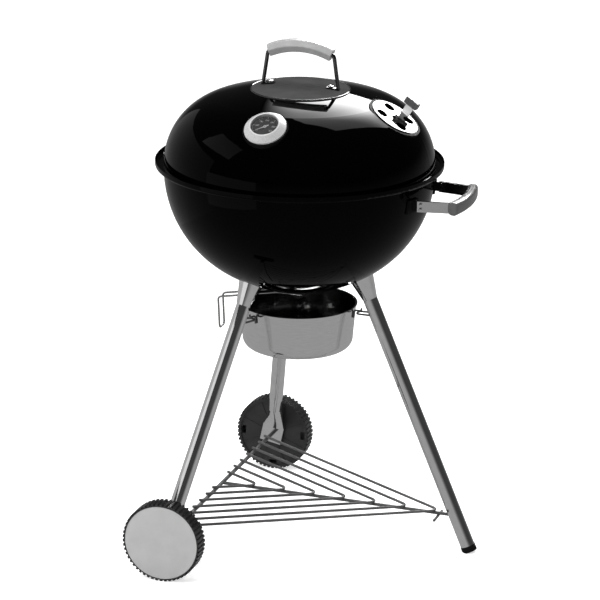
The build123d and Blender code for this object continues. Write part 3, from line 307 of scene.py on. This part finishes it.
def glass():
    """Thin clear window with a soft gloss."""
    shader = Shader("glass")
    shader.set(IOR=1.45, Alpha=0.12)
    shader.tint(shader.noise(scale=20.0, detail=CLOUD_DETAIL), dark=0.02, light=0.03)
    shader.roughen(shader.noise(scale=60.0, detail=CLOUD_DETAIL), low=0.02, high=0.06)
    shader.bump(shader.noise(scale=30.0, detail=CLOUD_DETAIL), height=0.000005)
    return shader


def pan_coat():
    """Coated pan, bright outside, with painted shade on its inner faces."""
    shader = metal("pan_coat", 0.80, 0.88, (0.07, 0.13), 60.0, 0.000004, STREAKS_LEVEL)
    shader.darken_inside((KETTLE_X, 0, 0), (1, 1, 0), PAN_PAINTED_SHADE)
    return shader


def strap_steel():
    """Handle strap, bright on its outer face, with painted shade on the faces between the two straps."""
    shader = metal("strap_steel", 0.68, 0.76, (0.12, 0.20), 200.0, 0.000004, STREAKS_LEVEL)
    shader.darken_inside((0, 0, 0), (0, 1, 0), STRAP_PAINTED_SHADE)
    return shader


# Each finish has a name, its darkest and lightest grey, its least and most roughness,
# its grain in waves to the metre, the grain's height, and then its gloss and the grain's stretch.
FINISHES = {
    "enamel": enamel(),
    "chrome": metal("chrome", 0.84, 0.90, (0.03, 0.07), 60.0, 0.000002),
    "plated_wire": moulded("plated_wire", 0.075, 0.100, (0.35, 0.50), 400.0, 0.00001, 0.2),
    "plate_steel": moulded("plate_steel", 0.045, 0.055, (0.45, 0.55), 500.0, 0.00001, 0.0),
    "pan_metal": metal("pan_metal", 0.80, 0.88, (0.07, 0.13), 60.0, 0.000004, STREAKS_LEVEL),
    "grate_steel": metal("grate_steel", 0.40, 0.52, (0.28, 0.40), 300.0, 0.00002),
    "grey_plastic": moulded("grey_plastic", 0.33, 0.39, (0.16, 0.26), 900.0, 0.00002, 0.4),
    "dark_grey_plastic": moulded("dark_grey_plastic", 0.085, 0.10, (0.30, 0.42), 900.0, 0.00002),
    "black_plastic": moulded("black_plastic", 0.004, 0.006, (0.45, 0.6), 900.0, 0.00002, 0.03),
    "rubber": moulded("rubber", 0.010, 0.016, (0.55, 0.7), 700.0, 0.00003, 0.3),
    "wheel_plastic": moulded("wheel_plastic", 0.022, 0.028, (0.12, 0.18), 700.0, 0.00001, 0.4),
    "disc_face": moulded("disc_face", 0.42, 0.46, (0.36, 0.46), 600.0, 0.00001),
    "dial_face": moulded("dial_face", 0.040, 0.050, (0.4, 0.5), 600.0, 0.00001, 0.1),
    "pointer_paint": moulded("pointer_paint", 0.40, 0.45, (0.35, 0.45), 600.0, 0.00001),
    "glass": glass(),
}

# Nodes whose finish departs from that of their slot
NODE_FINISHES = {
    "gauge_case": moulded("satin_bezel", 0.40, 0.46, (0.22, 0.32), 500.0, 0.000004, 0.8),
    # Bowl grip in a darker copy of the grip plastic: painted shade
    "handle_grip": moulded("handle_plastic_painted_shade", 0.08, 0.10, (0.14, 0.24), 900.0, 0.00002, 0.3, STREAKS_ALONG_Y),
    "lid_handle": metal("handle_rod", 0.09, 0.12, (0.10, 0.16), 300.0, 0.000004),
    # Ash pan with painted shade on its inner faces
    "ash_pan": pan_coat(),
    "sweeper_lever": metal("lever_wire", 0.42, 0.52, (0.16, 0.24), 400.0, 0.00001),
    # Straps with painted shade on the faces between them
    "handle_strap_left": strap_steel(),
    "handle_strap_right": strap_steel(),
    "handle_rivets": metal("rivet_steel", 0.70, 0.78, (0.14, 0.22), 300.0, 0.000004),
    "vent_plate": metal("vent_chrome", 0.12, 0.16, (0.03, 0.06), 60.0, 0.000002),
    # Chrome tab in a pale matt colour: a painted reflection
    "vent_tab": moulded("tab_steel_painted_reflection", 0.70, 0.78, (0.25, 0.35), 300.0, 0.000004, 0.5),
    "foot_cap": moulded("cap_rubber", 0.004, 0.007, (0.6, 0.75), 700.0, 0.00003, 0.1),
}


def paint_nodes():
    """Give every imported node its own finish, or that of its slot in the record."""
    for row in frame["record"]["subparts"]:
        data = NODES[row["node"]].data
        data.materials.clear()
        finish = NODE_FINISHES.get(row["node"], FINISHES[row["material_slot"]])
        data.materials.append(finish.material)


def turned_frame(place, axis):
    """Frame at a place with z along an axis, x level and y up the slope."""
    level = UP.cross(axis).normalized()
    return Matrix.Translation(place) @ Matrix((level, axis.cross(level), axis)).transposed().to_4x4()


def add_piece(name, points, faces, place, body, finish):
    """Detail of the visual model that rides on a body and wears a finish."""
    mesh = bpy.data.meshes.new(name)
    mesh.from_pydata([place @ Vector(point) for point in points], [], faces)
    mesh.polygons.foreach_set("use_smooth", [True] * len(mesh.polygons))
    mesh.materials.append(finish.material)
    made = bpy.data.objects.new(name, mesh)
    bpy.context.scene.collection.objects.link(made)
    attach(made, body)


def bead(name, profile, place, body, finish):
    """Closed profile of radius and height turned into a ring."""
    count = len(profile)
    points = []
    faces = []
    for turn in range(RING_STEPS):
        angle = 2 * pi * turn / RING_STEPS
        points += [(radius * cos(angle), radius * sin(angle), height) for radius, height in profile]
        start = turn * count
        after = (turn + 1) % RING_STEPS * count
        for i in range(count):
            beside = (i + 1) % count
            faces.append((start + i, after + i, after + beside, start + beside))
    add_piece(name, points, faces, place, body, finish)


def domed_head(name, radius, tall, place, body, finish, cross=0.0):
    """Domed fastener head, with a cross recess of a given depth."""
    points = []
    faces = []
    for step in range(HEAD_STEPS + 1):
        away = radius * step / HEAD_STEPS
        for turn in range(HEAD_TURNS):
            angle = 2 * pi * turn / HEAD_TURNS
            x, y = away * cos(angle), away * sin(angle)
            near, far = sorted((abs(x), abs(y)))
            sunk = near < CROSS_HALF * radius and far < CROSS_REACH * radius
            points.append((x, y, tall * (1 - (step / HEAD_STEPS) ** 2) - (cross if sunk else 0)))
            if step:
                turned = (turn + 1) % HEAD_TURNS
                row, before = step * HEAD_TURNS, (step - 1) * HEAD_TURNS
                faces.append((before + turn, row + turn, row + turned, before + turned))
    add_piece(name, points, faces, place, body, finish)


def add_world():
    """White to the camera, pale below and dark above to gloss, and an even fill to matt surfaces."""
    world = bpy.data.worlds.new("studio")
    bpy.context.scene.world = world
    world.use_nodes = True
    tree = world.node_tree
    tree.nodes.clear()
    output = tree.nodes.new("ShaderNodeOutputWorld")
    path = tree.nodes.new("ShaderNodeLightPath")
    place = tree.nodes.new("ShaderNodeTexCoord")

    def along(direction, start, end, low, high):
        """Value that runs from low to high along a direction."""
        dot = tree.nodes.new("ShaderNodeVectorMath")
        dot.operation = "DOT_PRODUCT"
        dot.inputs[1].default_value = direction
        tree.links.new(place.outputs["Generated"], dot.inputs[0])
        spread = tree.nodes.new("ShaderNodeMapRange")
        spread.interpolation_type = "SMOOTHSTEP"
        set_range(spread, start, end, low, high)
        tree.links.new(dot.outputs["Value"], spread.inputs["Value"])
        return spread.outputs["Result"]

    def background(strength):
        """White light of a number's strength, or of a socket's."""
        made = tree.nodes.new("ShaderNodeBackground")
        if isinstance(strength, float):
            made.inputs["Strength"].default_value = strength
        else:
            tree.links.new(strength, made.inputs["Strength"])
        made.inputs["Color"].default_value = (1, 1, 1, 1)
        return made.outputs["Background"]

    def mix(factor, first, second):
        """Shader that is the first at a factor of 0 and the second at 1."""
        made = tree.nodes.new("ShaderNodeMixShader")
        tree.links.new(factor, made.inputs["Fac"])
        tree.links.new(first, made.inputs[1])
        tree.links.new(second, made.inputs[2])
        return made.outputs["Shader"]

    level = along(UP, *STUDIO_FADE, STUDIO_LOW, STUDIO_HIGH)
    gloss = mix(path.outputs["Is Glossy Ray"], background(SKY_FILL), background(level))
    seen = tree.nodes.new("ShaderNodeMath")
    seen.operation = "MAXIMUM"
    tree.links.new(path.outputs["Is Camera Ray"], seen.inputs[0])
    tree.links.new(path.outputs["Is Transmission Ray"], seen.inputs[1])
    tree.links.new(mix(seen.outputs["Value"], gloss, background(SKY_SEEN)), output.inputs["Surface"])


def sheet(name, corners):
    """Flat mesh with one face, outside the object itself."""
    mesh = bpy.data.meshes.new(name)
    mesh.from_pydata(corners, [], [tuple(range(len(corners)))])
    made = bpy.data.objects.new(name, mesh)
    bpy.context.scene.collection.objects.link(made)
    return made


def add_floor():
    """Pale floor that keeps a soft shadow and is white elsewhere."""
    half = FLOOR_HALF
    floor = sheet("floor", [(-half, -half, 0), (half, -half, 0), (half, half, 0), (-half, half, 0)])
    floor.visible_glossy = False
    shader = Shader("floor")
    shader.set(Roughness=FLOOR_ROUGH)
    shader.tint(shader.noise(FLOOR_NOISE), FLOOR_COLOUR, FLOOR_COLOUR + FLOOR_COLOUR_SPAN)
    path = shader.node("ShaderNodeLightPath")
    glow = shader.node("ShaderNodeMath", operation="MULTIPLY")
    glow.inputs[1].default_value = FLOOR_GLOW
    shader.links.new(path.outputs["Is Camera Ray"], glow.inputs[0])
    shader.set(Emission_Color=(1, 1, 1, 1))
    shader.links.new(glow.outputs["Value"], shader.surface.inputs["Emission Strength"])
    floor.data.materials.append(shader.material)


def reflector(name, corners, light, fade=None, side_fade=None):
    """Card that only gloss sees. Its light changes between two heights, and a side fade dims one end."""
    card = sheet(name, corners)
    card.visible_camera = False
    card.visible_diffuse = False
    card.visible_shadow = False
    card.visible_transmission = False
    heights = [corner[2] for corner in corners]
    start, end = fade or (min(heights), max(heights))
    shader = Shader(name)
    shader.nodes.remove(shader.surface)
    place = shader.node("ShaderNodeTexCoord")
    parts = shader.node("ShaderNodeSeparateXYZ")
    shader.links.new(place.outputs["Object"], parts.inputs["Vector"])
    spread = shader.node("ShaderNodeMapRange", interpolation_type="SMOOTHSTEP")
    set_range(spread, start, end, *light)
    shader.links.new(parts.outputs["Z"], spread.inputs["Value"])
    strength = spread.outputs["Result"]
    if side_fade:
        share = shader.node("ShaderNodeMapRange", interpolation_type="SMOOTHSTEP")
        set_range(share, *side_fade, 0.0, 1.0)
        shader.links.new(parts.outputs["X"], share.inputs["Value"])
        product = shader.node("ShaderNodeMath", operation="MULTIPLY")
        shader.links.new(strength, product.inputs[0])
        shader.links.new(share.outputs["Result"], product.inputs[1])
        strength = product.outputs["Value"]
    glow = shader.node("ShaderNodeEmission")
    shader.links.new(strength, glow.inputs["Strength"])
    shader.links.new(glow.outputs["Emission"], shader.nodes["Material Output"].inputs["Surface"])
    card.data.materials.append(shader.material)


def lamp(name, place, power):
    """Square soft lamp that looks at the middle of the grill and leaves no spot on gloss."""
    data = bpy.data.lights.new(name, "AREA")
    data.shape = "SQUARE"
    data.size = LAMP_SIZE
    data.energy = power
    made = bpy.data.objects.new(name, data)
    bpy.context.scene.collection.objects.link(made)
    made.location = place
    made.rotation_mode = "QUATERNION"
    made.rotation_quaternion = (Vector(LAMP_TARGET) - Vector(place)).to_track_quat("-Z", "Y")
    made.visible_glossy = False


def lean_back(outline):
    """Corners in the leaning plane behind the grill from widths and heights."""
    return [(x, BACK_FOOT - BACK_LEAN * z, z) for x, z in outline]


def upright(line, heights):
    """Corners of an upright card over a line on the floor."""
    first, second = line
    low, high = heights
    return [(*first, low), (*second, low), (*second, high), (*first, high)]


def add_studio():
    """World, floor, cards and lamps."""
    add_world()
    add_floor()
    reflector("back_card", lean_back(BACK_OUTLINE), BACK_LIGHT, BACK_FADE, BACK_SIDE_FADE)
    reflector("left_wall", upright(LEFT_WALL_LINE, LEFT_WALL_HEIGHTS), LEFT_WALL_LIGHT)
    reflector("side_card", SIDE_CARD, SIDE_CARD_LIGHT)
    reflector("front_card", upright(FRONT_CARD_LINE, FRONT_CARD_HEIGHTS), FRONT_CARD_LIGHT)
    lamp("key", KEY_AT, KEY_WATTS)
    lamp("top", TOP_AT, TOP_WATTS)


def dial_frame():
    """Frame on the pointer's axis with z out of the dial."""
    pointer = JOINTS["pointer_turn"]
    return turned_frame(Vector(pointer["pos_m"]), -Vector(pointer["axis"]))


def dial_angle(step, steps):
    """Angle of a step of the scale, clockwise from the pointer's rest."""
    return DIAL_START - DIAL_SWEEP * step / steps


def add_dial_ticks():
    """Ticks printed round the dial, a long one at each number."""
    spaces = (len(DIAL_NUMBERS) - 1) * DIAL_SMALL_TICKS
    points = []
    faces = []
    for tick in range(spaces + 1):
        angle = dial_angle(tick, spaces)
        inner, outer, half = DIAL_SHORT_TICK if tick % DIAL_SMALL_TICKS else DIAL_LONG_TICK
        along = Vector((cos(angle), sin(angle), 0))
        across = Vector((-sin(angle), cos(angle), 0))
        first = len(points)
        for height in (DIAL_TOP, DIAL_TOP + 2 * DIAL_PRINT):
            for reach, side in ((inner, -half), (outer, -half), (outer, half), (inner, half)):
                points.append(along * reach + across * side + UP * height)
        faces.append(tuple(first + i for i in (4, 5, 6, 7)))
        for i in range(4):
            beside = (i + 1) % 4
            faces.append((first + i, first + beside, first + 4 + beside, first + 4 + i))
    add_piece("dial_ticks", points, faces, dial_frame(), "lid", FINISHES["pointer_paint"])


def add_dial_numbers():
    """Plain numbers printed inside the ticks."""
    for index, number in enumerate(DIAL_NUMBERS):
        angle = dial_angle(index, len(DIAL_NUMBERS) - 1)
        text = bpy.data.curves.new("number", "FONT")
        text.body = str(number)
        text.size = DIAL_NUMBER_TALL
        text.align_x = "CENTER"
        text.align_y = "CENTER"
        text.extrude = DIAL_PRINT
        shape = bpy.data.objects.new("number", text).to_mesh()
        spot = Vector((cos(angle), sin(angle), 0)) * DIAL_NUMBER_R + UP * (DIAL_TOP + DIAL_PRINT)
        points = [vertex.co + spot for vertex in shape.vertices]
        faces = [tuple(polygon.vertices) for polygon in shape.polygons]
        name = f"dial_number_{number}"
        add_piece(name, points, faces, dial_frame(), "lid", FINISHES["pointer_paint"])


def add_crown_trim():
    """Bead round the crown plate and the two screw heads beside the handle's feet."""
    tube = []
    for side in range(CROWN_BEAD_SIDES):
        angle = 2 * pi * side / CROWN_BEAD_SIDES
        radius = CROWN_BEAD_R + CROWN_BEAD_TUBE * cos(angle)
        tube.append((radius, CROWN_BEAD_Z + CROWN_BEAD_TUBE * sin(angle)))
    kettle = Matrix.Translation((KETTLE_X, 0, 0))
    bead("crown_bead", tube, kettle, "lid", NODE_FINISHES["vent_plate"])
    for name, side in (("left", -1), ("right", 1)):
        arm = Vector((side * SCREW_X, 0, (SCREW_ARM ** 2 - SCREW_X ** 2) ** 0.5))
        place = turned_frame(Vector((KETTLE_X, 0, CROWN_CENTRE_Z)) + arm, arm.normalized())
        head = f"screw_head_{name}"
        domed_head(head, SCREW_R, SCREW_TALL, place, "lid", FINISHES["chrome"], CROSS_DEEP)


def add_vent_trim():
    """Raised rim of the turning vent plate."""
    vent = JOINTS["vent_turn"]
    place = turned_frame(Vector(vent["pos_m"]), Vector(vent["axis"]))
    rim = [(radius, VENT_TOP + height) for radius, height in VENT_BEAD]
    bead("vent_rim", rim, place, "damper", NODE_FINISHES["vent_plate"])


def add_rivet_heads():
    """Rivet heads on the outer faces of the bowl handle's straps."""
    steel = NODE_FINISHES["handle_rivets"]
    for name, side in (("left", 1), ("right", -1)):
        axis = Vector((sin(RIVET_TOE), side * cos(RIVET_TOE), 0))
        for row, height in zip(("low", "high"), RIVET_HEIGHTS):
            place = turned_frame(Vector((KETTLE_X + RIVET_OUT[0], side * RIVET_OUT[1], height)), axis)
            head = f"rivet_head_{name}_{row}"
            domed_head(head, RIVET_R, RIVET_TALL, place, "stand", steel)


bpy.context.scene.view_settings.view_transform = "Standard"
add_camera()
add_studio()
paint_nodes()
add_dial_ticks()
add_dial_numbers()
add_crown_trim()
add_vent_trim()
add_rivet_heads()
